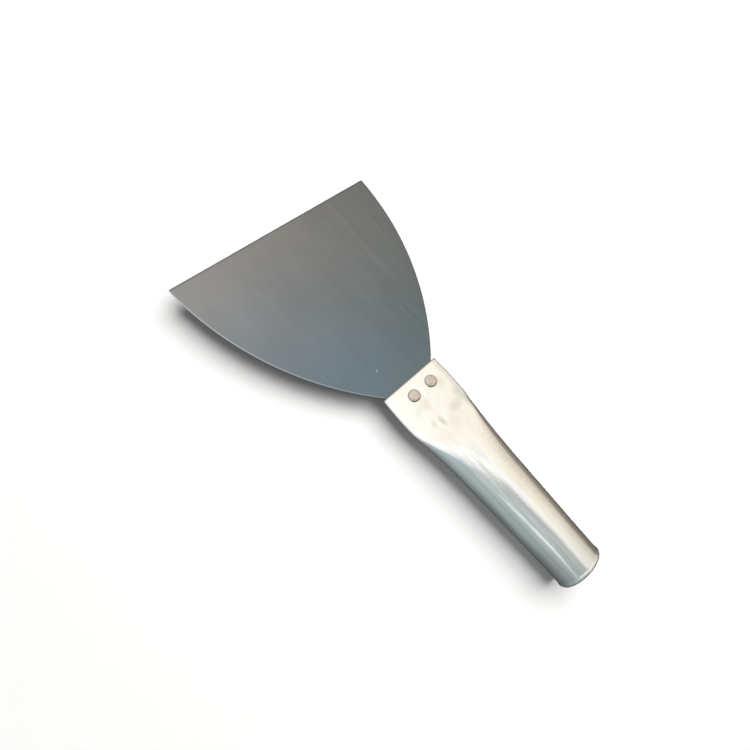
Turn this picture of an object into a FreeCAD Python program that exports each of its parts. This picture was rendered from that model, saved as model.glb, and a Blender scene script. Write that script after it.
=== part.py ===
import FreeCAD, Part
import os
from math import asin, atan2, pi

import Sketcher
from FreeCAD import Placement, Rotation, Vector

# Wide putty knife: a fan-shaped steel blade riveted into the flattened mouth of a tubular handle.
# The part's frame: X across the blade, +Y towards the cutting edge, +Z up through the blade's face.
# The origin is on the blade's mid-plane and the centreline, half way along the overall length.
# Every sub-part is drawn with its own Y = 0 at the handle's mouth and placed from there.

# alias, millimetres
DIMENSIONS = (
    ("blade_width", 100.0),
    ("blade_reach", 87.5),
    ("blade_thickness", 1.0),
    ("side_radius", 134.0),
    ("corner_radius", 0.7),
    ("neck_width", 26.2),
    ("tang_length", 19.0),
    ("tang_corner_radius", 3.0),
    ("bevel_length", 0.7),
    ("edge_land", 0.5),
    ("rivet_pitch", 10.0),
    ("rivet_offset", 1.2),
    ("rivet_setback", 6.6),
    ("shank_diameter", 3.6),
    ("head_diameter", 5.6),
    ("head_height", 0.9),
    ("tail_diameter", 5.4),
    ("tail_height", 0.8),
    ("wall", 0.8),
    ("mouth_width", 30.2),
    ("press_at", 9.0),
    ("press_width", 31.0),
    ("flat_length", 19.0),
    ("flat_end_width", 30.7),
    ("handle_length", 104.0),
    ("blend_at", 22.5),
    ("blend_width", 29.5),
    ("blend_height", 3.6),
    ("shoulder_at", 28.0),
    ("shoulder_width", 28.0),
    ("shoulder_height", 7.8),
    ("waist_at", 37.0),
    ("waist_width", 26.2),
    ("waist_height", 13.6),
    ("palm_at", 56.0),
    ("palm_width", 24.2),
    ("palm_height", 17.8),
    ("heel_at", 80.0),
    ("heel_width", 22.4),
    ("heel_height", 20.0),
    ("butt_width", 21.2),
    ("butt_height", 21.0),
    ("rim_bead_diameter", 2.4),
    ("rim_proud", 0.2),
)
SIZE = dict(DIMENSIONS)
TINY = 1e-6


def make_sheet(doc):
    sheet = doc.addObject("Spreadsheet::Sheet", "dims")
    for row, (alias, value) in enumerate(DIMENSIONS, start=1):
        sheet.set(f"A{row}", alias)
        sheet.set(f"B{row}", str(value))
        sheet.setAlias(f"B{row}", alias)
    doc.recompute()
    return sheet


def make_body(doc, label):
    body = doc.addObject("PartDesign::Body", label)
    body.Label = label
    return body


def make_sketch(body, name, role):
    """A sketch on one of the body's own origin planes."""
    plane = next(item for item in body.Origin.OriginFeatures if item.Role == role)
    sketch = body.newObject("Sketcher::SketchObject", name)
    sketch.AttachmentSupport = [(plane, "")]
    sketch.MapMode = "FlatFace"
    return sketch


def bind(sketch, name, constraint, formula):
    """Add a driving dimension and tie it to the sheet."""
    index = sketch.addConstraint(constraint)
    sketch.renameConstraint(index, name)
    sketch.setExpression(f"Constraints.{name}", formula)


def join_loop(sketch, edges, rule="Coincident"):
    """Close a loop of edges: each one's end (2) meets the next one's start (1)."""
    for this, following in zip(edges, edges[1:] + edges[:1]):
        sketch.addConstraint(Sketcher.Constraint(rule, this, 2, following, 1))


def line(x0, y0, x1, y1):
    return Part.LineSegment(Vector(x0, y0, 0), Vector(x1, y1, 0))


def arc(centre, radius, start, end):
    circle = Part.Circle(Vector(*centre, 0), Vector(0, 0, 1), radius)
    return Part.ArcOfCircle(circle, start, end)


def upright_edges(shape, picks):
    """Names of the straight edges parallel to Z whose middle passes the test."""
    names = []
    for index, edge in enumerate(shape.Edges, start=1):
        first, last = edge.Vertexes[0].Point, edge.Vertexes[-1].Point
        run = last - first
        is_upright = run.Length > TINY and abs(run.z) > run.Length - TINY
        if is_upright and picks((first + last) / 2):
            names.append(f"Edge{index}")
    return names


def side_arc():
    """Centre and angles of the right-hand convex side, from the neck to the cutting corner."""
    neck = Vector(SIZE["neck_width"] / 2, 0, 0)
    tip = Vector(SIZE["blade_width"] / 2, SIZE["blade_reach"], 0)
    chord = tip - neck
    inward = Vector(-chord.y, chord.x, 0).normalize()
    depth = (SIZE["side_radius"] ** 2 - chord.Length**2 / 4) ** 0.5
    centre = (neck + tip) / 2 + inward * depth
    start = atan2(neck.y - centre.y, neck.x - centre.x)
    end = atan2(tip.y - centre.y, tip.x - centre.x)
    return centre, start, end


def draw_fan(sketch):
    """Cutting edge, two convex sides and the neck line, symmetric about the centreline."""
    half_neck = SIZE["neck_width"] / 2
    half_edge = SIZE["blade_width"] / 2
    reach = SIZE["blade_reach"]
    radius = SIZE["side_radius"]
    centre, start, end = side_arc()
    sketch.addGeometry(arc((centre.x, centre.y), radius, start, end))
    sketch.addGeometry(line(half_edge, reach, -half_edge, reach))
    sketch.addGeometry(arc((-centre.x, centre.y), radius, pi - end, pi - start))
    sketch.addGeometry(line(-half_neck, 0, half_neck, 0))
    join_loop(sketch, [0, 1, 2, 3])
    sketch.addConstraint(Sketcher.Constraint("Symmetric", 0, 2, 2, 1, -2))
    sketch.addConstraint(Sketcher.Constraint("Symmetric", 0, 1, 2, 2, -2))
    sketch.addConstraint(Sketcher.Constraint("Equal", 0, 2))
    sketch.addConstraint(Sketcher.Constraint("PointOnObject", 0, 1, -1))
    bind(sketch, "edge", Sketcher.Constraint("DistanceX", 1, 2, 1, 1, 2 * half_edge), "dims.blade_width")
    bind(sketch, "neck", Sketcher.Constraint("DistanceX", 3, 1, 3, 2, 2 * half_neck), "dims.neck_width")
    bind(sketch, "reach", Sketcher.Constraint("DistanceY", -1, 1, 0, 2, reach), "dims.blade_reach")
    bind(sketch, "side", Sketcher.Constraint("Radius", 0, radius), "dims.side_radius")


def draw_tang(sketch):
    """The straight tongue behind the neck line."""
    half_neck, tang = SIZE["neck_width"] / 2, SIZE["tang_length"]
    sketch.addGeometry(line(-half_neck, 0, -half_neck, -tang))
    sketch.addGeometry(line(-half_neck, -tang, half_neck, -tang))
    sketch.addGeometry(line(half_neck, -tang, half_neck, 0))
    sketch.addGeometry(line(half_neck, 0, -half_neck, 0))
    join_loop(sketch, [0, 1, 2, 3])
    sketch.addConstraint(Sketcher.Constraint("Vertical", 0))
    sketch.addConstraint(Sketcher.Constraint("Horizontal", 1))
    sketch.addConstraint(Sketcher.Constraint("PointOnObject", 0, 1, -1))
    sketch.addConstraint(Sketcher.Constraint("Symmetric", 2, 2, 0, 1, -2))
    sketch.addConstraint(Sketcher.Constraint("Vertical", 2))
    bind(sketch, "neck", Sketcher.Constraint("DistanceX", 1, 1, 1, 2, 2 * half_neck), "dims.neck_width")
    bind(sketch, "tang", Sketcher.Constraint("DistanceY", 2, 1, 2, 2, tang), "dims.tang_length")


def draw_rivet_holes(sketch):
    """Two circles on the rivet line; the pair stands a little to the right of the centreline."""
    pitch, offset = SIZE["rivet_pitch"], SIZE["rivet_offset"]
    setback, radius = SIZE["rivet_setback"], SIZE["shank_diameter"] / 2
    for side in (-1, 1):
        centre = Vector(offset + side * pitch / 2, -setback, 0)
        sketch.addGeometry(Part.Circle(centre, Vector(0, 0, 1), radius))
    right = offset + pitch / 2
    sketch.addConstraint(Sketcher.Constraint("Horizontal", 0, 3, 1, 3))
    sketch.addConstraint(Sketcher.Constraint("Equal", 0, 1))
    bind(sketch, "pitch", Sketcher.Constraint("DistanceX", 0, 3, 1, 3, pitch), "dims.rivet_pitch")
    bind(sketch, "right", Sketcher.Constraint("DistanceX", -1, 1, 1, 3, right), rivet_across("+"))
    bind(sketch, "setback", Sketcher.Constraint("DistanceY", 0, 3, -1, 1, setback), "dims.rivet_setback")
    bind(sketch, "hole", Sketcher.Constraint("Radius", 0, radius), "dims.shank_diameter / 2")


def rivet_across(sign):
    """Where a rivet stands across the handle: + for the right one, - for the left one."""
    return f"dims.rivet_offset {sign} dims.rivet_pitch / 2"


def draw_bevel(sketch):
    """The wedges ground off both faces behind the cutting edge, seen from the side."""
    reach, length = SIZE["blade_reach"], SIZE["bevel_length"]
    half_land, half_sheet = SIZE["edge_land"] / 2, SIZE["blade_thickness"] / 2
    for side in (1, -1):
        first = sketch.GeometryCount
        sketch.addGeometry(line(reach - length, side * half_sheet, reach, side * half_sheet))
        sketch.addGeometry(line(reach, side * half_sheet, reach, side * half_land))
        sketch.addGeometry(line(reach, side * half_land, reach - length, side * half_sheet))
        join_loop(sketch, [first, first + 1, first + 2])
    sketch.addConstraint(Sketcher.Constraint("Horizontal", 0))
    sketch.addConstraint(Sketcher.Constraint("Vertical", 1))
    sketch.addConstraint(Sketcher.Constraint("Symmetric", 0, 1, 3, 1, -1))
    sketch.addConstraint(Sketcher.Constraint("Symmetric", 0, 2, 3, 2, -1))
    sketch.addConstraint(Sketcher.Constraint("Symmetric", 1, 2, 4, 2, -1))
    bind(sketch, "length", Sketcher.Constraint("DistanceX", 0, 1, 0, 2, length), "dims.bevel_length")
    bind(sketch, "reach", Sketcher.Constraint("DistanceX", -1, 1, 0, 2, reach), "dims.blade_reach")
    bind(sketch, "sheet", Sketcher.Constraint("DistanceY", 3, 2, 0, 2, 2 * half_sheet), "dims.blade_thickness")
    bind(sketch, "land", Sketcher.Constraint("DistanceY", 4, 2, 1, 2, 2 * half_land), "dims.edge_land")


def pad_both_ways(body, name, sketch, formula):
    """Unrefined, so that a face keeps the seam between two pads."""
    pad = body.newObject("PartDesign::Pad", name)
    pad.Profile = sketch
    pad.Midplane = True
    pad.Refine = False
    pad.setExpression("Length", formula)


def pocket_through(body, name, sketch):
    pocket = body.newObject("PartDesign::Pocket", name)
    pocket.Profile = sketch
    pocket.Type = "ThroughAll"
    pocket.Midplane = True
    pocket.Refine = False


def must_cut(doc, body, before):
    """A cut that points the wrong way removes nothing and raises nothing, so compare volumes."""
    doc.recompute()
    if body.Shape.Volume >= before - TINY:
        raise RuntimeError(f"{body.Label}: {body.Tip.Label} cut nothing")
    return body.Shape.Volume


def round_corners(doc, body, name, picks, formula):
    """Fillet the upright edges whose middle passes the test."""
    edges = upright_edges(body.Shape, picks)
    base = body.Tip
    rounding = body.newObject("PartDesign::Fillet", name)
    rounding.Base = (base, edges)
    rounding.Refine = False
    rounding.setExpression("Radius", formula)
    doc.recompute()


def build_blade(doc):
    """A flat steel fan with a ground cutting edge, two rivet holes and a hidden tang."""
    body = make_body(doc, "blade")
    fan = make_sketch(body, "fan_outline", "XY_Plane")
    draw_fan(fan)
    pad_both_ways(body, "fan", fan, "dims.blade_thickness")
    doc.recompute()
    tang = make_sketch(body, "tang_outline", "XY_Plane")
    draw_tang(tang)
    pad_both_ways(body, "tang", tang, "dims.blade_thickness")
    doc.recompute()
    volume = body.Shape.Volume

    holes = make_sketch(body, "blade_hole_centres", "XY_Plane")
    draw_rivet_holes(holes)
    pocket_through(body, "blade_rivet_holes", holes)
    volume = must_cut(doc, body, volume)

    bevel = make_sketch(body, "blade_bevel_profile", "YZ_Plane")
    draw_bevel(bevel)
    pocket_through(body, "blade_bevel", bevel)
    must_cut(doc, body, volume)

    near = SIZE["edge_land"]
    front, back = SIZE["blade_reach"] - near, near - SIZE["tang_length"]
    round_corners(doc, body, "blade_corners", lambda middle: middle.y > front, "dims.corner_radius")
    round_corners(doc, body, "tang_corners", lambda middle: middle.y < back, "dims.tang_corner_radius")
    return body


def draw_oval(sketch, width, height, formulas):
    """A flat-sided oval: two half-round ends joined by straight top and bottom runs."""
    radius = height / 2
    reach = width / 2 - radius
    sketch.addGeometry(arc((reach, 0), radius, -pi / 2, pi / 2))
    sketch.addGeometry(line(reach, radius, -reach, radius))
    sketch.addGeometry(arc((-reach, 0), radius, pi / 2, 3 * pi / 2))
    sketch.addGeometry(line(-reach, -radius, reach, -radius))
    join_loop(sketch, [0, 1, 2, 3], "Tangent")
    sketch.addConstraint(Sketcher.Constraint("Equal", 0, 2))
    sketch.addConstraint(Sketcher.Constraint("PointOnObject", 0, 3, -1))
    sketch.addConstraint(Sketcher.Constraint("Symmetric", 0, 3, 2, 3, -1, 1))
    wide, high = formulas
    bind(sketch, "end", Sketcher.Constraint("Radius", 0, radius), f"({high}) / 2")
    bind(sketch, "run", Sketcher.Constraint("DistanceX", 2, 3, 0, 3, 2 * reach), f"({wide}) - ({high})")


def stations():
    """Sections of the handle from mouth to butt: name, width, height and depth behind the mouth."""
    pressed = ("blade_thickness + 2 * dims.wall", SIZE["blade_thickness"] + 2 * SIZE["wall"])
    rows = [
        ("mouth", "mouth_width", pressed, None),
        ("press", "press_width", pressed, "press_at"),
        ("flat_end", "flat_end_width", pressed, "flat_length"),
    ]
    for name in ("blend", "shoulder", "waist", "palm", "heel"):
        height = (f"{name}_height", SIZE[f"{name}_height"])
        rows.append((name, f"{name}_width", height, f"{name}_at"))
    height = ("butt_height", SIZE["butt_height"])
    rows.append(("butt", "butt_width", height, "handle_length - dims.rim_bead_diameter / 2"))
    return rows


def draw_stations(body, kind, skin):
    """One oval sketch per station; skin is how far the section lies inside the outer surface."""
    sketches = []
    for name, width, (height_formula, height), depth in stations():
        sketch = make_sketch(body, f"{kind}_{name}", "XZ_Plane")
        wide = f"dims.{width} - 2 * dims.wall * {skin}"
        high = f"dims.{height_formula} - 2 * dims.wall * {skin}"
        inset = 2 * SIZE["wall"] * skin
        draw_oval(sketch, SIZE[width] - inset, height - inset, (wide, high))
        if depth:
            sketch.setExpression("AttachmentOffset.Base.z", f"dims.{depth}")
        sketches.append(sketch)
    return sketches


def loft(body, name, kind, sketches):
    feature = body.newObject(kind, name)
    feature.Profile = sketches[0]
    feature.Sections = sketches[1:]
    return feature


def draw_rim(sketch):
    """The curled rim's round bead, standing a little proud of the tube."""
    bead = SIZE["rim_bead_diameter"] / 2
    across = SIZE["butt_width"] / 2 + SIZE["rim_proud"] - bead
    back = SIZE["handle_length"] - bead
    sketch.addGeometry(Part.Circle(Vector(across, -back, 0), Vector(0, 0, 1), bead))
    bind(sketch, "bead", Sketcher.Constraint("Radius", 0, bead), "dims.rim_bead_diameter / 2")
    across_formula = "dims.butt_width / 2 + dims.rim_proud - dims.rim_bead_diameter / 2"
    bind(sketch, "across", Sketcher.Constraint("DistanceX", -1, 1, 0, 3, across), across_formula)
    back_formula = "dims.handle_length - dims.rim_bead_diameter / 2"
    bind(sketch, "back", Sketcher.Constraint("DistanceY", 0, 3, -1, 1, back), back_formula)


def build_handle(doc):
    """A thin-walled tube, pressed flat over the tang in front and opening to a round, curled butt."""
    body = make_body(doc, "handle")
    outer = draw_stations(body, "outer", 0)
    doc.recompute()
    loft(body, "pressed_mouth", "PartDesign::AdditiveLoft", outer[:3])
    doc.recompute()
    loft(body, "tapered_grip", "PartDesign::AdditiveLoft", outer[2:])
    doc.recompute()
    volume = body.Shape.Volume

    inner = draw_stations(body, "inner", 1)
    doc.recompute()
    loft(body, "mouth_hollow", "PartDesign::SubtractiveLoft", inner[:3])
    volume = must_cut(doc, body, volume)
    loft(body, "grip_hollow", "PartDesign::SubtractiveLoft", inner[2:])
    volume = must_cut(doc, body, volume)

    holes = make_sketch(body, "handle_hole_centres", "XY_Plane")
    draw_rivet_holes(holes)
    pocket_through(body, "handle_rivet_holes", holes)
    must_cut(doc, body, volume)

    rim = make_sketch(body, "rim_profile", "XY_Plane")
    draw_rim(rim)
    bead = body.newObject("PartDesign::Revolution", "curled_rim")
    bead.Profile = rim
    bead.ReferenceAxis = (rim, ["V_Axis"])
    bead.Angle = 360
    doc.recompute()
    return body


def draw_rivet(sketch):
    """Half of a rivet in section: flattened tail, shank and low domed head, about the vertical axis."""
    stack = SIZE["blade_thickness"] / 2 + SIZE["wall"]
    head, rise = SIZE["head_diameter"] / 2, SIZE["head_height"]
    tail, fall = SIZE["tail_diameter"] / 2, SIZE["tail_height"]
    shank = SIZE["shank_diameter"] / 2
    dome = (head**2 + rise**2) / (2 * rise)
    tail_dome = (tail**2 + fall**2) / (2 * fall)
    head_angle = asin(head / dome)
    tail_angle = asin(tail / tail_dome)
    sketch.addGeometry(line(0, -stack - fall, 0, stack + rise))
    sketch.addGeometry(arc((0, stack + rise - dome), dome, pi / 2 - head_angle, pi / 2))
    sketch.addGeometry(line(head, stack, shank, stack))
    sketch.addGeometry(line(shank, stack, shank, -stack))
    sketch.addGeometry(line(shank, -stack, tail, -stack))
    sketch.addGeometry(arc((0, tail_dome - stack - fall), tail_dome, -pi / 2, tail_angle - pi / 2))
    meetings = (
        (0, 2, 1, 2),
        (1, 1, 2, 1),
        (2, 2, 3, 1),
        (3, 2, 4, 1),
        (4, 2, 5, 2),
        (5, 1, 0, 1),
    )
    for meeting in meetings:
        sketch.addConstraint(Sketcher.Constraint("Coincident", *meeting))
    for centre in (1, 5):
        sketch.addConstraint(Sketcher.Constraint("PointOnObject", centre, 3, -2))
    sketch.addConstraint(Sketcher.Constraint("PointOnObject", 0, 1, -2))
    sketch.addConstraint(Sketcher.Constraint("PointOnObject", 0, 2, -2))
    sketch.addConstraint(Sketcher.Constraint("Horizontal", 2))
    sketch.addConstraint(Sketcher.Constraint("Vertical", 3))
    sketch.addConstraint(Sketcher.Constraint("Horizontal", 4))
    half_stack = "dims.blade_thickness / 2 + dims.wall"
    bind(sketch, "seat", Sketcher.Constraint("DistanceY", -1, 1, 2, 2, stack), half_stack)
    bind(sketch, "tail_seat", Sketcher.Constraint("DistanceY", 4, 1, -1, 1, stack), half_stack)
    bind(sketch, "shank", Sketcher.Constraint("DistanceX", -1, 1, 3, 1, shank), "dims.shank_diameter / 2")
    bind(sketch, "head", Sketcher.Constraint("DistanceX", -1, 1, 2, 1, head), "dims.head_diameter / 2")
    bind(sketch, "tail", Sketcher.Constraint("DistanceX", -1, 1, 4, 2, tail), "dims.tail_diameter / 2")
    bind(sketch, "rise", Sketcher.Constraint("DistanceY", 2, 1, 0, 2, rise), "dims.head_height")
    bind(sketch, "fall", Sketcher.Constraint("DistanceY", 0, 1, 4, 2, fall), "dims.tail_height")


def build_rivet(doc, label):
    """A solid rivet: low domed head above, shank through the stack and upset tail below."""
    body = make_body(doc, label)
    profile = make_sketch(body, f"{label}_profile", "XZ_Plane")
    draw_rivet(profile)
    turned = body.newObject("PartDesign::Revolution", f"{label}_turned")
    turned.Profile = profile
    turned.ReferenceAxis = (profile, ["V_Axis"])
    turned.Angle = 360
    doc.recompute()
    return body


def place(body, across="0", along="0"):
    """Move a sub-part from the handle's mouth into the part's frame."""
    body.Placement = Placement(Vector(0, 0, 0), Rotation())
    mouth = "(dims.handle_length - dims.blade_reach) / 2"
    body.setExpression("Placement.Base.x", across)
    body.setExpression("Placement.Base.y", f"{mouth} + {along}")


def check_document(doc, bodies):
    """Stop if any object failed or any sub-part has no sound solid."""
    for item in doc.Objects:
        if "Invalid" in item.State or "Error" in item.State:
            raise RuntimeError(f"{item.Name}: {item.State}")
    for body in bodies:
        shape = body.Shape
        if shape.isNull() or not shape.isValid() or len(shape.Solids) != 1:
            raise RuntimeError(f"{body.Label}: no single valid solid")


def main():
    doc = FreeCAD.newDocument("putty_knife")
    make_sheet(doc)
    blade = build_blade(doc)
    handle = build_handle(doc)
    rivets = [build_rivet(doc, label) for label in ("rivet_left", "rivet_right")]
    place(blade)
    place(handle)
    for rivet, sign in zip(rivets, ("-", "+")):
        place(rivet, rivet_across(sign), "(0 - dims.rivet_setback)")
    doc.recompute()
    bodies = [blade, handle, *rivets]
    check_document(doc, bodies)
    os.makedirs("parts", exist_ok=True)
    for body in bodies:
        body.Shape.exportStep(f"parts/{body.Label}.step")
        print(body.Label, round(body.Shape.Volume, 1), "mm3", body.Shape.BoundBox)


main()
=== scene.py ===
import math

import bpy
from mathutils import Matrix, Vector, noise
from mathutils.bvhtree import BVHTree


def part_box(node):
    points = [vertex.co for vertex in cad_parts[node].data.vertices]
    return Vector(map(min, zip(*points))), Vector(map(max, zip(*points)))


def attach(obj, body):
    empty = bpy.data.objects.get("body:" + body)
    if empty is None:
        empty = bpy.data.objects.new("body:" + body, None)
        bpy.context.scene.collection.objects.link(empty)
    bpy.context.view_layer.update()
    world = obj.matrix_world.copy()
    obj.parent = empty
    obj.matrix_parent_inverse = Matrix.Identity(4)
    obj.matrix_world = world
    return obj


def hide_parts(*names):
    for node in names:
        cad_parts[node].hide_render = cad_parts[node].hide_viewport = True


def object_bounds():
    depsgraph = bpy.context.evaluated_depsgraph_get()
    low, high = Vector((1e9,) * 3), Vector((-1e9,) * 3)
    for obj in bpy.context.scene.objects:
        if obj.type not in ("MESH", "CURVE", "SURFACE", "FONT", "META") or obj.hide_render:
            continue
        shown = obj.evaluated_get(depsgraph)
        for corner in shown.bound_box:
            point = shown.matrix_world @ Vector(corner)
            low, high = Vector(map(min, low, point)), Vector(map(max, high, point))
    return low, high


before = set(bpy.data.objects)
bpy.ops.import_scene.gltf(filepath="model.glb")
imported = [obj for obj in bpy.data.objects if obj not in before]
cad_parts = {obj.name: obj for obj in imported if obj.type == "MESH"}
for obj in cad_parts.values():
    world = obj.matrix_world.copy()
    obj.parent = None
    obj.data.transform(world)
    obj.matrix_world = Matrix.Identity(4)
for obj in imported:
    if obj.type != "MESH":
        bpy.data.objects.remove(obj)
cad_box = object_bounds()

# A wide putty knife lying on a pale floor. Metres throughout, in the part's own frame:
# X across the blade, +Y towards the cutting edge, +Z up through the side with the rivet heads.

MM = 0.001

# ---------------------------------------------------------------- sizes read from the frame
BLADE_LOW, BLADE_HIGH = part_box("blade")
HANDLE_LOW, HANDLE_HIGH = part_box("handle")
EDGE_Y = BLADE_HIGH.y
TANG_Y = BLADE_LOW.y
MOUTH_Y = HANDLE_HIGH.y
BUTT_Y = HANDLE_LOW.y
SHEET = BLADE_HIGH.z - BLADE_LOW.z
BEAD_OUTSIDE = HANDLE_HIGH.z

# ---------------------------------------------------------------- sizes of details
WALL = 0.8 * MM
BEAD = 1.2 * MM
FLAT_LENGTH = 19 * MM
BEVEL = 0.7 * MM
EDGE_LAND = 0.5 * MM
SIDE_RADIUS = 134 * MM
NECK_HALF = 13.1 * MM
CORNER = 0.7 * MM
TANG_CORNER = 3.0 * MM
SHEARED_ROUND = 0.3 * MM
MOUTH_LIP = 0.15 * MM
RIVET_SHANK = 1.8 * MM
RIVET_TAIL = 2.7 * MM
RIVET_RIM = 0.12 * MM


def link(obj):
    bpy.context.scene.collection.objects.link(obj)
    return obj


def smooth_step(low, high, value):
    """0 below low, 1 above high, and an even swing between them."""
    share = min(1.0, max(0.0, (value - low) / (high - low)))
    return share * share * (3 - 2 * share)


def skin(name, rings, closed_path):
    """A quad skin over rings of points.

    closed_path joins the last ring to the first; otherwise both ends get a cap.
    """
    across = len(rings[0])
    points = [point for ring in rings for point in ring]
    faces = []
    spans = len(rings) if closed_path else len(rings) - 1
    for row in range(spans):
        here, there = row * across, (row + 1) % len(rings) * across
        for column in range(across):
            beside = (column + 1) % across
            faces.append((here + column, there + column, there + beside, here + beside))
    if not closed_path:
        last = (len(rings) - 1) * across
        faces.append(tuple(range(across)))
        faces.append(tuple(last + column for column in reversed(range(across))))
    mesh = bpy.data.meshes.new(name)
    mesh.from_pydata(points, [], faces)
    mesh.validate()
    mesh.update()
    for polygon in mesh.polygons:
        polygon.use_smooth = True
    return link(bpy.data.objects.new(name, mesh))


# ---------------------------------------------------------------- handle
AROUND = 160
TUBE_STATIONS = 150
INNER_STATIONS = 40
BEAD_STEPS = 18
SHAPE_SAMPLES = 200
SHAPE_SMOOTHING = 12

# How far the sides are pinched at the flat, the sheet is drawn in round a rivet, and it is wavy.
PINCH = 0.36
DIMPLE, DIMPLE_REACH = 0.08 * MM, 4.4 * MM
WAVINESS = 0.05 * MM

# Shallow press marks near the shoulders: across, ahead of the flat's end, size and depth.
PRESS_MARKS = (
    (-1.0 * MM, -3.2 * MM, 1.1 * MM, 0.07 * MM),
    (-5.2 * MM, -2.2 * MM, 1.5 * MM, 0.04 * MM),
    (8.6 * MM, -3.5 * MM, 2.6 * MM, 0.09 * MM),
    (-6.0 * MM, 6.5 * MM, 1.6 * MM, 0.03 * MM),
    (-1.8 * MM, 5.6 * MM, 1.4 * MM, 0.03 * MM),
)


def oval_point(half_width, half_height, share):
    """The point a share of the way round a flat-sided oval, counted from its right-hand end."""
    radius = half_height
    reach = max(half_width - radius, 1e-6)
    quarter = math.pi * radius / 2
    total = 4 * (quarter + reach)
    walk = (share % 1.0) * total
    if walk > total / 2:
        x, z = oval_point(half_width, half_height, 1.0 - share % 1.0)
        return x, -z
    if walk < quarter:
        angle = walk / radius
        return reach + radius * math.cos(angle), radius * math.sin(angle)
    if walk < quarter + 2 * reach:
        return reach - (walk - quarter), radius
    angle = math.pi / 2 + (walk - quarter - 2 * reach) / radius
    return -reach + radius * math.cos(angle), radius * math.sin(angle)


class HandleShape:
    """Half widths and heights of the CAD handle along its length, read by rays and smoothed."""

    def __init__(self, node):
        tree = BVHTree.FromObject(node, bpy.context.evaluated_depsgraph_get())
        start, end = MOUTH_Y - 0.2 * MM, BUTT_Y + 2.2 * BEAD
        last = SHAPE_SAMPLES - 1
        self.places = [start + (end - start) * i / last for i in range(SHAPE_SAMPLES)]
        outside = 0.1
        self.widths = []
        self.heights = []
        for y in self.places:
            side = tree.ray_cast(Vector((outside, y, 0)), Vector((-1, 0, 0)))[0]
            top = tree.ray_cast(Vector((0, y, outside)), Vector((0, 0, -1)))[0]
            self.widths.append(side.x)
            self.heights.append(top.z)
        for values in (self.widths, self.heights):
            for _ in range(SHAPE_SMOOTHING):
                values[1:-1] = [
                    (a + 2 * b + c) / 4 for a, b, c in zip(values, values[1:], values[2:])
                ]

    def at(self, y):
        """Half width and half height at a place along the handle."""
        first, last = self.places[0], self.places[-1]
        position = min(max((y - first) / (last - first), 0.0), 1.0) * (len(self.places) - 1)
        index = min(int(position), len(self.places) - 2)
        share = position - index
        width = self.widths[index] * (1 - share) + self.widths[index + 1] * share
        height = self.heights[index] * (1 - share) + self.heights[index + 1] * share
        return width, height


def rivet_places():
    """Centres of the two rivets in plan, from their CAD nodes."""
    places = []
    for node in ("rivet_left", "rivet_right"):
        low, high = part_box(node)
        places.append(((low.x + high.x) / 2, (low.y + high.y) / 2))
    return places


RIVETS = rivet_places()


def press_relief(point):
    """How far the sheet sinks: set rivets pull it in, and the press leaves a few shallow marks."""
    depth = 0.0
    for x, y in RIVETS:
        distance = math.hypot(point.x - x, point.y - y)
        depth += DIMPLE * math.exp(-((distance / DIMPLE_REACH) ** 4))
    shoulder = MOUTH_Y - FLAT_LENGTH
    for x, y, size, deep in PRESS_MARKS:
        distance = math.hypot(point.x - x, (point.y - shoulder - y) * 0.7)
        depth += deep * math.exp(-((distance / size) ** 2))
    return depth


def handle_point(width, height, share, y):
    """A point of the tube's section: nearly flat over the tang, an ellipse along the grip."""
    x, z = oval_point(width, height, share)
    behind = MOUTH_Y - y
    roundness = smooth_step(FLAT_LENGTH + 6 * MM, FLAT_LENGTH + 36 * MM, behind)
    to_ellipse = 1 / math.hypot(x / width, z / height)
    shrink = 1 + roundness * (to_ellipse - 1)
    x, z = x * shrink, z * shrink
    pinch = PINCH * (1 - smooth_step(FLAT_LENGTH - 3 * MM, FLAT_LENGTH + 8 * MM, behind))
    z *= 1 - pinch * smooth_step(width - 3.4 * MM, width - 0.6 * MM, abs(x))
    return Vector((x, y, z))


def handle_ring(shape, y, inset, relief):
    """One section of the tube; relief adds the dimples, the press marks and a slight waviness."""
    width, height = shape.at(y)
    ring = []
    for column in range(AROUND):
        point = handle_point(width - inset, height - inset, column / AROUND, y)
        if relief:
            if point.z > 0.6 * height:
                point.z -= press_relief(point)
            outward = Vector((point.x, 0, point.z)).normalized()
            wave = noise.noise(Vector((point.x * 60, y * 45, point.z * 60)))
            point += outward * (wave - 0.5) * WAVINESS
        ring.append(point)
    return ring


def build_handle():
    """The pressed tube in one closed skin: mouth lip, outer wall, curled rim and inner wall."""
    shape = HandleShape(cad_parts["handle"])
    rings = []
    lip = MOUTH_LIP
    for inset, back in ((WALL / 2, 0.0), (lip, 0.0), (lip * 0.3, lip * 0.3), (0.0, lip)):
        rings.append(handle_ring(shape, MOUTH_Y - back, inset, False))
    bead_y = BUTT_Y + BEAD
    butt_width = shape.at(bead_y)[0]
    bead_centre = BEAD_OUTSIDE - BEAD
    lean = math.acos((butt_width - bead_centre) / BEAD)
    tube_end = bead_y + BEAD * math.sin(lean)
    for station in range(1, TUBE_STATIONS + 1):
        y = MOUTH_Y - lip - (MOUTH_Y - lip - tube_end) * station / TUBE_STATIONS
        rings.append(handle_ring(shape, y, 0.0, True))
    for step in range(1, BEAD_STEPS + 1):
        angle = -lean + (math.pi + 2 * lean) * step / BEAD_STEPS
        inset = butt_width - bead_centre - BEAD * math.cos(angle)
        rings.append(handle_ring(shape, bead_y - BEAD * math.sin(angle), inset, False))
    for station in range(INNER_STATIONS + 1):
        share = station / INNER_STATIONS
        y = tube_end + (MOUTH_Y - tube_end) * share
        rings.append(handle_ring(shape, y, WALL, False))
    handle = skin("handle_tube", rings, True)
    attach(handle, "root")
    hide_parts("handle")
    return handle


# ---------------------------------------------------------------- blade
ROWS = 150
TANG_ROWS = 8
BEVEL_ROWS = 10
FACE_COLUMNS = 90
ROUND_STEPS = 4


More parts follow.
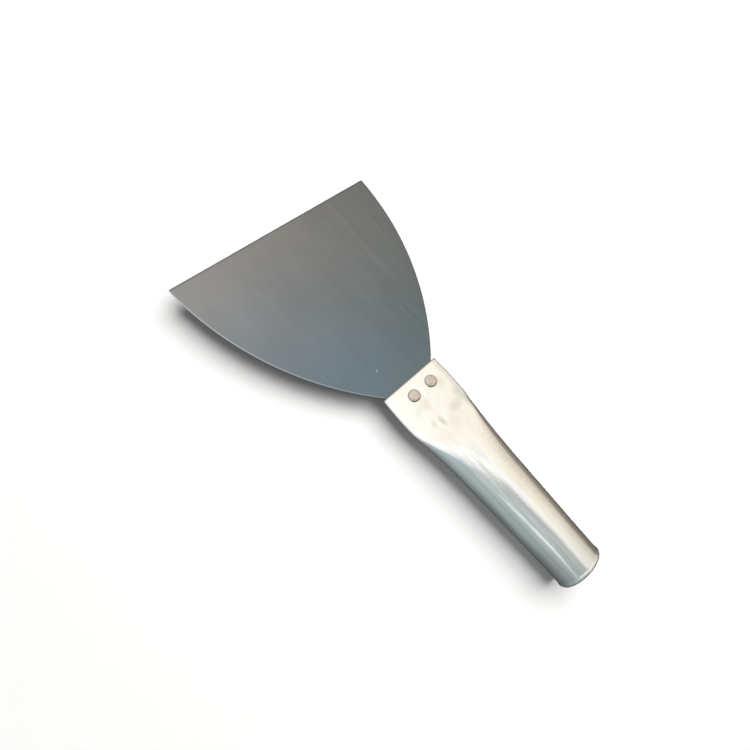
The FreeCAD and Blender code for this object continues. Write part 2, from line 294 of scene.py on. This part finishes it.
def side_arc_x(y):
    """Half width of the blade's convex side at a place between the neck and the cutting edge."""
    neck = Vector((NECK_HALF, MOUTH_Y))
    tip = Vector((BLADE_HIGH.x, EDGE_Y))
    chord = tip - neck
    inward = Vector((-chord.y, chord.x)).normalized()
    centre = (neck + tip) / 2 + inward * math.sqrt(SIDE_RADIUS**2 - chord.length_squared / 4)
    return centre.x + math.sqrt(SIDE_RADIUS**2 - (y - centre.y) ** 2)


def corner_cut(radius, past):
    """How much a rounded corner takes off the width, this far past the start of its arc."""
    return radius - math.sqrt(max(radius**2 - past**2, 0)) if past > 0 else 0


def blade_half_width(y):
    """Half width at a place: the tang, the convex side, and the small corner at each tip."""
    if y <= MOUTH_Y:
        return NECK_HALF - corner_cut(TANG_CORNER, TANG_Y + TANG_CORNER - y)
    return side_arc_x(y) - corner_cut(CORNER, y - (EDGE_Y - CORNER))


def blade_half_thickness(y):
    """Half the sheet's thickness at a place, thinner over the ground edge."""
    ground = max(0.0, (y - (EDGE_Y - BEVEL)) / BEVEL)
    return (SHEET - (SHEET - EDGE_LAND) * ground) / 2


def blade_ring(y):
    """Section of the sheet across the tool, with its sheared edges just rounded."""
    width, thick = blade_half_width(y), blade_half_thickness(y)
    edge = min(SHEARED_ROUND, thick * 0.6)
    corners = (
        (width - edge, thick - edge, 0.0),
        (-width + edge, thick - edge, 0.5),
        (-width + edge, -thick + edge, 1.0),
        (width - edge, -thick + edge, 1.5),
    )
    ring = []
    for index, (x, z, turn) in enumerate(corners):
        for step in range(ROUND_STEPS + 1):
            angle = math.pi * (turn + 0.5 * step / ROUND_STEPS)
            ring.append(Vector((x + edge * math.cos(angle), y, z + edge * math.sin(angle))))
        if index in (0, 2):
            side = 1 if index == 0 else -1
            for column in range(1, FACE_COLUMNS):
                run = side * (1 - 2 * column / FACE_COLUMNS)
                ring.append(Vector((run * (width - edge), y, z + edge * side)))
    return ring


def blade_rows():
    """Places of the blade's sections: even along the face, closer where the outline turns."""
    quarter = math.pi / 2
    start, end = TANG_Y + TANG_CORNER, EDGE_Y - BEVEL
    rows = [
        TANG_Y + TANG_CORNER * (1 - math.cos(quarter * i / TANG_ROWS)) for i in range(TANG_ROWS)
    ]
    rows += [start + (end - start) * i / ROWS for i in range(ROWS)]
    rows += [end + BEVEL * math.sin(quarter * i / BEVEL_ROWS) for i in range(BEVEL_ROWS + 1)]
    return rows


def build_blade():
    """The sheet-steel fan with its ground edge, and the tang that the handle hides."""
    blade = skin("blade_sheet", [blade_ring(y) for y in blade_rows()], False)
    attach(blade, "root")
    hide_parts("blade")
    return blade


# ---------------------------------------------------------------- rivets
RIVET_AROUND = 56
TAIL_STEPS = 12
HEAD_STEPS = 14
RIVET_UNEVEN = 0.03


def rivet_profile(low, high):
    """Radius and height along a rivet, from its tail's centre up the shank and over the head."""
    stack = SHEET / 2 + WALL
    head = (high.x - low.x) / 2
    rise, fall = high.z - stack, -stack - low.z
    profile = []
    for step in range(1, TAIL_STEPS + 1):
        turn = step / TAIL_STEPS * math.pi / 2
        profile.append((RIVET_TAIL * math.sin(turn), -stack - fall * math.cos(turn) ** 0.8))
    profile += [(RIVET_TAIL, -stack), (RIVET_SHANK, -stack), (RIVET_SHANK, stack)]
    profile.append((head * 0.97, stack))
    for step in range(HEAD_STEPS):
        turn = math.pi / 2 * step / HEAD_STEPS
        dome = (rise - RIVET_RIM) * math.sin(turn) ** 0.9
        profile.append((head * math.cos(turn) ** 0.7, stack + RIVET_RIM + dome))
    return profile


def build_rivet(node, seed):
    """A set rivet: low head with a dressed top, shank and upset tail."""
    low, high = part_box(node)
    centre = Vector(((low.x + high.x) / 2, (low.y + high.y) / 2, 0))
    rings = []
    for radius, z in rivet_profile(low, high):
        ring = []
        for column in range(RIVET_AROUND):
            angle = -2 * math.pi * column / RIVET_AROUND
            direction = Vector((math.cos(angle), math.sin(angle), 0))
            dent = noise.noise(direction * 1.3 + Vector((seed, 0, z * 400)))
            uneven = 1 - RIVET_UNEVEN * (0.5 + 0.5 * dent)
            ring.append(centre + direction * radius * uneven + Vector((0, 0, z)))
        rings.append(ring)
    rivet = skin(node + "_set", rings, False)
    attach(rivet, "root")
    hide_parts(node)
    return rivet


# ---------------------------------------------------------------- materials
class Nodes:
    """Short calls for one material's node tree."""

    def __init__(self, name):
        self.material = bpy.data.materials.new(name)
        self.material.use_nodes = True
        self.tree = self.material.node_tree
        self.tree.nodes.clear()
        self.output = self.tree.nodes.new("ShaderNodeOutputMaterial")
        self.shader = self.tree.nodes.new("ShaderNodeBsdfPrincipled")
        self.link(self.shader.outputs["BSDF"], self.output.inputs["Surface"])
        self.place = self.tree.nodes.new("ShaderNodeTexCoord").outputs["Object"]

    def link(self, source, target):
        self.tree.links.new(source, target)

    def feed(self, socket, value):
        """Link another node's output, or set a plain value."""
        if isinstance(value, bpy.types.NodeSocket):
            self.link(value, socket)
        else:
            socket.default_value = value

    def math(self, operation, a, b=0.0, clamp=False):
        node = self.tree.nodes.new("ShaderNodeMath")
        node.operation = operation
        node.use_clamp = clamp
        self.feed(node.inputs[0], a)
        self.feed(node.inputs[1], b)
        return node.outputs[0]

    def scaled(self, scale, offset=(0, 0, 0), turn=0.0):
        """The place on the piece, stretched, moved and turned."""
        node = self.tree.nodes.new("ShaderNodeMapping")
        node.inputs["Scale"].default_value = scale
        node.inputs["Location"].default_value = offset
        node.inputs["Rotation"].default_value = (0, 0, turn)
        self.link(self.place, node.inputs["Vector"])
        return node.outputs[0]

    def noise(self, scale, stretch=(1, 1, 1), detail=3.0, rough=0.5, offset=(0, 0, 0), turn=0.0):
        node = self.tree.nodes.new("ShaderNodeTexNoise")
        node.inputs["Scale"].default_value = scale
        node.inputs["Detail"].default_value = detail
        node.inputs["Roughness"].default_value = rough
        self.link(self.scaled(stretch, offset, turn), node.inputs["Vector"])
        return node.outputs["Fac"]

    def ramp(self, value, low, high, out_low=0.0, out_high=1.0, smooth=True):
        """A value between low and high brought to out_low up to out_high, and held outside."""
        node = self.tree.nodes.new("ShaderNodeMapRange")
        node.interpolation_type = "SMOOTHSTEP" if smooth else "LINEAR"
        self.feed(node.inputs["Value"], value)
        node.inputs["From Min"].default_value = low
        node.inputs["From Max"].default_value = high
        node.inputs["To Min"].default_value = out_low
        node.inputs["To Max"].default_value = out_high
        return node.outputs["Result"]

    def mix(self, share, first, second):
        node = self.tree.nodes.new("ShaderNodeMix")
        node.data_type = "RGBA"
        self.feed(node.inputs["Factor"], share)
        self.feed(node.inputs[6], first)
        self.feed(node.inputs[7], second)
        return node.outputs[2]

    def smudge(self, place, size, turn):
        """A mask that is full at a place and fades out over an ellipse."""
        node = self.tree.nodes.new("ShaderNodeMapping")
        node.vector_type = "TEXTURE"
        node.inputs["Location"].default_value = place
        node.inputs["Rotation"].default_value = (0, 0, turn)
        node.inputs["Scale"].default_value = size
        self.link(self.place, node.inputs["Vector"])
        reach = self.tree.nodes.new("ShaderNodeVectorMath")
        reach.operation = "LENGTH"
        self.link(node.outputs[0], reach.inputs[0])
        return self.ramp(reach.outputs["Value"], 0.1, 1.0, 1.0, 0.0)

    def bump(self, height, strength, distance, below=None):
        node = self.tree.nodes.new("ShaderNodeBump")
        node.inputs["Strength"].default_value = strength
        node.inputs["Distance"].default_value = distance
        self.link(height, node.inputs["Height"])
        if below:
            self.link(below, node.inputs["Normal"])
        return node.outputs["Normal"]

    def axes(self):
        """Places across and along the knife."""
        node = self.tree.nodes.new("ShaderNodeSeparateXYZ")
        self.link(self.place, node.inputs["Vector"])
        return node.outputs["X"], node.outputs["Y"]

    def facing(self):
        """Which way the surface faces, as X, Y and Z outputs."""
        node = self.tree.nodes.new("ShaderNodeSeparateXYZ")
        self.link(self.place.node.outputs["Normal"], node.inputs["Vector"])
        return node.outputs

    def finish(self, colour, roughness, normal, metallic=1.0):
        self.feed(self.shader.inputs["Base Color"], colour)
        self.feed(self.shader.inputs["Roughness"], roughness)
        self.feed(self.shader.inputs["Metallic"], metallic)
        self.link(normal, self.shader.inputs["Normal"])
        return self.material


def rgb(red, green, blue):
    return (red, green, blue, 1.0)


def blade_material():
    """Satin rolled steel with fine long grain, and a painted reflection gradient: lighter and warm
    towards the cutting edge and the left, darker and cool by the neck and the right.
    """
    n = Nodes("rolled_steel")
    x, y = n.axes()
    drift = n.math("SUBTRACT", n.noise(22, (1, 1, 1), 3.0, 0.5), 0.5)
    along = n.math("ADD", y, n.math("MULTIPLY", drift, 0.022))
    across = n.math("ADD", x, n.math("MULTIPLY", drift, 0.03))
    # Painted reflection gradient in the base colour: lighter on the left and towards the cutting
    # edge, cooler and darker by the neck and on the right.
    right = n.ramp(across, -0.05, 0.045, smooth=False)
    edge_sheen_tone = n.mix(right, rgb(0.30, 0.288, 0.285), rgb(0.172, 0.176, 0.178))
    neck_sheen_tone = n.mix(right, rgb(0.168, 0.240, 0.315), rgb(0.112, 0.142, 0.148))
    tone = n.mix(n.ramp(along, 0.025, 0.09, smooth=False), neck_sheen_tone, edge_sheen_tone)
    cloud = n.noise(45, (1, 0.6, 1), 4.0, 0.55, (3, 1, 0))
    tone = n.mix(n.ramp(cloud, 0.35, 0.7, 0.0, 0.16), tone, rgb(0.17, 0.18, 0.18))
    grain = n.noise(900, (1, 0.035, 1), 3.0, 0.6)
    tone = n.mix(n.ramp(grain, 0.3, 0.75, 0.0, 0.16), tone, rgb(0.29, 0.29, 0.29))
    scratch = n.noise(260, (1, 0.02, 1), 2.0, 0.5, (0, 5, 0), 0.3)
    marks = n.ramp(scratch, 0.66, 0.74)
    tone = n.mix(n.math("MULTIPLY", marks, 0.10), tone, rgb(0.36, 0.36, 0.36))
    # A small bright chip in the surface, ahead of the mouth.
    chip = n.smudge((-8.5 * MM, 19.6 * MM, SHEET / 2), (1.1 * MM, 0.4 * MM, 1.0 * MM), 0.75)
    tone = n.mix(n.math("MULTIPLY", chip, 0.6), tone, rgb(0.62, 0.68, 0.76))
    rough = n.math("ADD", n.ramp(cloud, 0.3, 0.7, 0.34, 0.42), n.math("MULTIPLY", grain, 0.06))
    # The sheared side faces: plain grey, with a painted reflection of the floor on the left-facing
    # ones.
    upright = n.math("ABSOLUTE", n.facing()["Z"])
    tone = n.mix(n.ramp(upright, 0.6, 0.9, 1.0, 0.0), tone, rgb(0.50, 0.50, 0.49))
    floor_reflection_side = n.ramp(n.facing()["X"], -0.40, -0.15, 1.0, 0.0)
    tone = n.mix(floor_reflection_side, tone, rgb(0.92, 0.96, 0.98))
    normal = n.bump(grain, 0.12, 0.00004)
    normal = n.bump(n.noise(60, (1, 1, 1), 3.0, 0.5, (7, 0, 0)), 0.15, 0.0004, normal)
    return n.finish(tone, rough, normal)


# Beige stains by the rivets and darker grey patches over the press marks on the pressed flat, in
# millimetres and radians:
# across, along, length, width, turn, strength, tone.
BEIGE, GREY = rgb(0.74, 0.64, 0.52), rgb(0.50, 0.52, 0.49)
FLAT_MARKS = (
    (-2.6, -3.4, 6.0, 3.0, 1.6, 0.60, BEIGE),
    (8.6, -0.8, 4.6, 4.2, 0.4, 0.60, BEIGE),
    (-6.5, -4.6, 4.0, 2.6, 0.2, 0.20, GREY),
    (7.8, -12.6, 6.5, 3.6, 0.1, 0.50, GREY),
    (11.6, -9.0, 5.0, 3.0, 1.3, 0.45, GREY),
    (13.2, -14.0, 8.0, 3.4, 1.5, 0.60, GREY),
    (-2.2, -13.6, 4.2, 1.7, 1.65, 0.60, GREY),
    (-5.6, -12.4, 2.8, 2.2, 0.9, 0.40, GREY),
    (1.5, -17.5, 7.0, 4.0, 1.3, 0.18, GREY),
)


def handle_material():
    """Bright drawn metal: long streaks, stains by the rivets, a dull speckled side and butt."""
    n = Nodes("bright_tube_metal")
    x, y = n.axes()
    patch = n.noise(90, (1, 0.5, 1), 4.0, 0.55)
    scuff = n.noise(420, (1, 0.3, 1), 4.0, 0.6, (2, 0, 4))
    speckle = n.noise(1300, (1, 0.8, 1), 3.0, 0.6, (6, 2, 0))
    streak = n.noise(420, (1, 0.05, 1), 4.0, 0.6, (0, 3, 8))
    bright, worn = rgb(0.925, 0.92, 0.90), rgb(0.78, 0.775, 0.75)
    tone = n.mix(n.ramp(patch, 0.45, 0.75, 0.0, 0.2), bright, worn)
    tone = n.mix(n.ramp(scuff, 0.62, 0.75, 0.0, 0.25), tone, rgb(0.62, 0.61, 0.58))
    for across, along, length, width, turn, strength, colour in FLAT_MARKS:
        place = (across * MM, along * MM, 2.4 * MM)
        mask = n.smudge(place, (length * MM, width * MM, 4 * MM), turn)
        broken = n.math("MULTIPLY", mask, n.ramp(scuff, 0.3, 0.6, 0.6, 1.0))
        tone = n.mix(n.math("MULTIPLY", broken, strength), tone, colour)
    grip = n.ramp(y, -0.036, -0.014, 1.0, 0.0)
    dull_side = n.math("MULTIPLY", n.ramp(x, 0.0015, 0.0055), grip)
    speckled = n.math("MULTIPLY", dull_side, n.ramp(speckle, 0.42, 0.62, 0.15, 0.7))
    tone = n.mix(speckled, tone, rgb(0.78, 0.71, 0.65))
    # Streaked tone on the grip's left side, with a painted reflection of the cool left of the room
    # in its bluish tint.
    streaks_and_cool_reflection = n.math("MULTIPLY", n.ramp(x, -0.004, 0.002, 1.0, 0.0), grip)
    streaks_and_cool_reflection = n.math("MULTIPLY", streaks_and_cool_reflection, n.ramp(streak, 0.40, 0.62, 0.0, 0.6))
    tone = n.mix(streaks_and_cool_reflection, tone, rgb(0.60, 0.665, 0.685))
    tone = n.mix(n.ramp(y, -0.094, -0.066, 0.30, 0.0), tone, rgb(0.50, 0.51, 0.50))
    # Painted shade: a dark line down the right-facing sides of the flat and the neck.
    off_grip = n.math("SUBTRACT", 0.75, grip, True)
    painted_side_shade = n.math("MULTIPLY", n.ramp(n.facing()["X"], 0.3, 0.85), off_grip)
    tone = n.mix(painted_side_shade, tone, rgb(0.22, 0.21, 0.19))
    # Painted shade along the mouth's edge, where the handle meets the blade.
    lip = n.ramp(y, MOUTH_Y - 0.7 * MM, MOUTH_Y - 0.3 * MM, 0.0, 0.8)
    tone = n.mix(lip, tone, rgb(0.30, 0.30, 0.27))
    rough = n.ramp(patch, 0.35, 0.75, 0.11, 0.18)
    rough = n.math("ADD", rough, n.ramp(scuff, 0.55, 0.8, 0.0, 0.08))
    rough = n.math("ADD", rough, n.math("MULTIPLY", dull_side, 0.08))
    normal = n.bump(streak, 0.22, 0.0002)
    normal = n.bump(n.noise(150, (1, 0.25, 1), 4.0, 0.55, (5, 5, 5)), 0.25, 0.0002, normal)
    normal = n.bump(speckle, 0.16, 0.0001, normal)
    return n.finish(tone, rough, normal)


def rivet_material():
    """Dull upset metal: beige-grey, softly hammered, with painted shade on the side towards the
    grip.
    """
    n = Nodes("set_rivet_metal")
    spot = n.noise(900, (1, 1, 1), 3.0, 0.55)
    tone = n.mix(n.ramp(spot, 0.4, 0.7, 0.0, 0.5), rgb(0.66, 0.59, 0.53), rgb(0.45, 0.41, 0.38))
    # Painted shade: the head's side facing the grip is darkened.
    tone = n.mix(n.ramp(n.facing()["Y"], -0.75, -0.15, 0.85, 0.0), tone, rgb(0.20, 0.18, 0.16))
    rough = n.ramp(spot, 0.3, 0.7, 0.30, 0.42)
    normal = n.bump(n.noise(650, (1, 1, 1), 3.0, 0.5, (1, 2, 3)), 0.35, 0.0002)
    return n.finish(tone, rough, normal)


def floor_material():
    """Pale matt board with a barely visible tooth."""
    n = Nodes("pale_board")
    tooth = n.noise(700, (1, 1, 1), 4.0, 0.6)
    cloud = n.noise(4, (1, 1, 1), 3.0, 0.5)
    light, dark = rgb(0.90, 0.90, 0.895), rgb(0.88, 0.88, 0.875)
    tone = n.mix(n.ramp(cloud, 0.35, 0.65, 0.0, 0.3), light, dark)
    n.shader.inputs["Specular IOR Level"].default_value = 0.2
    return n.finish(tone, n.ramp(tooth, 0.3, 0.7, 0.7, 0.8), n.bump(tooth, 0.05, 0.0001), 0.0)


# ---------------------------------------------------------------- stage, light and camera
FLOOR_Z = cad_box[0].z
FLOOR_REACH = 1.6

# Lamp watts for each square metre of card and unit of brightness seen in the metal.
CARD_WATTS = 1.53


def build_floor():
    """A flat pale board under the knife, lit by the lamps and not seen in the metal."""
    mesh = bpy.data.meshes.new("floor")
    corners = [(-1, -1), (1, -1), (1, 1), (-1, 1)]
    points = [(x * FLOOR_REACH, y * FLOOR_REACH, FLOOR_Z) for x, y in corners]
    mesh.from_pydata(points, [], [(0, 1, 2, 3)])
    mesh.update()
    floor = link(bpy.data.objects.new("floor", mesh))
    floor.data.materials.append(floor_material())
    floor.visible_glossy = False


def soft_box(name, place, aim, size, power, colour, lights_floor):
    """A rectangular lamp that either lights the floor or is only seen in the metal."""
    light = bpy.data.lights.new(name, "AREA")
    light.shape = "RECTANGLE"
    light.size, light.size_y = size
    light.energy = power
    light.color = colour
    lamp = link(bpy.data.objects.new(name, light))
    lamp.location = place
    lamp.rotation_euler = (Vector(aim) - Vector(place)).to_track_quat("-Z", "Y").to_euler()
    lamp.visible_glossy = not lights_floor
    lamp.visible_diffuse = lights_floor
    return lamp


def card(name, low, high, facing, radiance, colour):
    """A flat reflector between two corners, facing along one axis, of an even brightness."""
    low, high = Vector(low), Vector(high)
    span = high - low
    sides = [span[axis] for axis in range(3) if abs(facing[axis]) < 0.5]
    centre = (low + high) / 2
    power = radiance * sides[0] * sides[1] * CARD_WATTS
    soft_box(name, centre, centre + Vector(facing), sides, power, colour, False)


def strip(name, start, end, width, radiance):
    """A narrow lamp between two places, facing the knife: the fine bright line along the grip."""
    start, end = Vector(start), Vector(end)
    centre, along = (start + end) / 2, (end - start).normalized()
    back = (centre - along * centre.dot(along)).normalized()
    length = (end - start).length
    power = radiance * length * width * CARD_WATTS
    lamp = soft_box(name, centre, (0, 0, 0), (length, width), power, (1, 1, 1), False)
    lamp.rotation_euler = Matrix((along, back.cross(along), back)).transposed().to_euler()


# The overhead reflector: rows from the blade's end to the butt's, each as back, front and the left
# edges of its cards with their brightness. It starts further right over the grip than the flat.
OVERHEAD_Z = 1.2
OVERHEAD_RIGHT = 1.3
OVERHEAD_ROWS = (
    (-0.04, 1.80, ((-2.00, 0.74), (-1.10, 0.88), (-0.60, 1.08), (0.46, 0.98))),
    (-0.18, -0.04, ((-1.30, 0.74), (0.00, 0.86), (0.11, 1.06), (0.46, 0.92))),
    (-0.47, -0.18, ((0.06, 0.70), (0.14, 0.88), (0.22, 1.06), (0.46, 0.88))),
    (-1.40, -0.47, ((-0.05, 0.66), (0.03, 0.84), (0.11, 1.02), (0.46, 0.92))),
)


def build_overhead():
    """Even cards side by side in each row, the last one cream."""
    white, cream = (1.0, 0.995, 0.975), (1.0, 0.955, 0.84)
    for row, (back, front, cards) in enumerate(OVERHEAD_ROWS):
        ends = [left for left, _ in cards[1:]] + [OVERHEAD_RIGHT]
        for column, ((left, radiance), right) in enumerate(zip(cards, ends)):
            colour = cream if column == len(cards) - 1 else white
            low, high = (left, back, OVERHEAD_Z), (right, front, OVERHEAD_Z)
            card(f"overhead_{row}_{column}", low, high, (0, 0, -1), radiance, colour)


def build_lights():
    """Two soft boxes for the floor; cards, a strip and a dim room for the metal."""
    key, fill, warm = (1.0, 0.995, 0.985), (1.0, 1.0, 1.0), (1.0, 0.955, 0.86)
    soft_box("key_box", (0.98, 0.12, 1.5), (0.98, 0.12, 0), (2.0, 1.8), 54, key, True)
    soft_box("fill_box", (-1.5, 0.0, 1.6), (-1.5, 0.0, 0), (3.0, 3.2), 11, fill, True)
    build_overhead()
    card("side_card", (1.3, -1.4, 0.25), (1.3, 1.8, 1.2), (-1, 0, 0), 0.82, warm)
    strip("strip_lamp", (-0.775, -0.34, 0.99), (-1.10, -0.72, 0.60), 0.08, 1.3)
    build_world()


def build_room(nodes, links):
    """A dim room: brighter overhead, cool on the left and warm on the right."""
    direction = nodes.new("ShaderNodeTexCoord").outputs["Generated"]
    axes = nodes.new("ShaderNodeSeparateXYZ")
    links.new(direction, axes.inputs["Vector"])
    lean = nodes.new("ShaderNodeVectorMath")
    lean.operation = "DOT_PRODUCT"
    lean.inputs[1].default_value = (-0.3, 0.25, 1.0)
    links.new(direction, lean.inputs[0])
    level = nodes.new("ShaderNodeMapRange")
    level.inputs["From Min"].default_value = -1.0
    level.inputs["To Min"].default_value = 0.10
    level.inputs["To Max"].default_value = 0.62
    links.new(lean.outputs["Value"], level.inputs["Value"])
    side = nodes.new("ShaderNodeMapRange")
    side.inputs["From Min"].default_value = -0.8
    side.inputs["From Max"].default_value = 0.8
    links.new(axes.outputs["X"], side.inputs["Value"])
    tint = nodes.new("ShaderNodeMix")
    tint.data_type = "RGBA"
    tint.inputs[6].default_value = rgb(0.87, 0.985, 1.02)
    tint.inputs[7].default_value = rgb(1.10, 1.0, 0.86)
    links.new(side.outputs["Result"], tint.inputs["Factor"])
    room = nodes["Background"]
    links.new(tint.outputs[2], room.inputs["Color"])
    links.new(level.outputs["Result"], room.inputs["Strength"])
    return room


def build_world():
    """The room is seen only in the metal. The open backdrop itself is plain and pale."""
    world = bpy.data.worlds.new("studio")
    bpy.context.scene.world = world
    world.use_nodes = True
    world.cycles_visibility.diffuse = False
    nodes, links = world.node_tree.nodes, world.node_tree.links
    room = build_room(nodes, links)
    backdrop = nodes.new("ShaderNodeBackground")
    backdrop.inputs["Color"].default_value = rgb(0.97, 0.97, 0.965)
    seen = nodes.new("ShaderNodeMixShader")
    links.new(nodes.new("ShaderNodeLightPath").outputs["Is Camera Ray"], seen.inputs["Fac"])
    links.new(room.outputs["Background"], seen.inputs[1])
    links.new(backdrop.outputs["Background"], seen.inputs[2])
    links.new(seen.outputs["Shader"], nodes["World Output"].inputs["Surface"])


CAMERA_PLACE = (-0.0742, -0.00395, 0.1890)
CAMERA_AIM = (0.0170, 0.0095, 0)
CAMERA_ROLL = 40.1


def build_camera():
    """Above and to the left of the handle, rolled so that the knife lies across the picture."""
    camera = bpy.data.cameras.new("photo_view")
    camera.sensor_width = 36
    camera.lens = 23.04
    camera.shift_x = -0.08
    camera.shift_y = -0.0288
    camera.clip_start = 0.01
    eye = link(bpy.data.objects.new("photo_view", camera))
    place = Vector(CAMERA_PLACE)
    aim = (Vector(CAMERA_AIM) - place).to_track_quat("-Z", "Y").to_matrix().to_4x4()
    roll = Matrix.Rotation(math.radians(CAMERA_ROLL), 4, "Z")
    eye.matrix_world = Matrix.Translation(place) @ aim @ roll
    bpy.context.scene.camera = eye


# ---------------------------------------------------------------- the scene
build_handle().data.materials.append(handle_material())
build_blade().data.materials.append(blade_material())
set_metal = rivet_material()
for node, seed in (("rivet_left", 1.0), ("rivet_right", 5.0)):
    build_rivet(node, seed).data.materials.append(set_metal)

build_floor()
build_lights()
build_camera()
bpy.context.scene.view_settings.view_transform = "Standard"
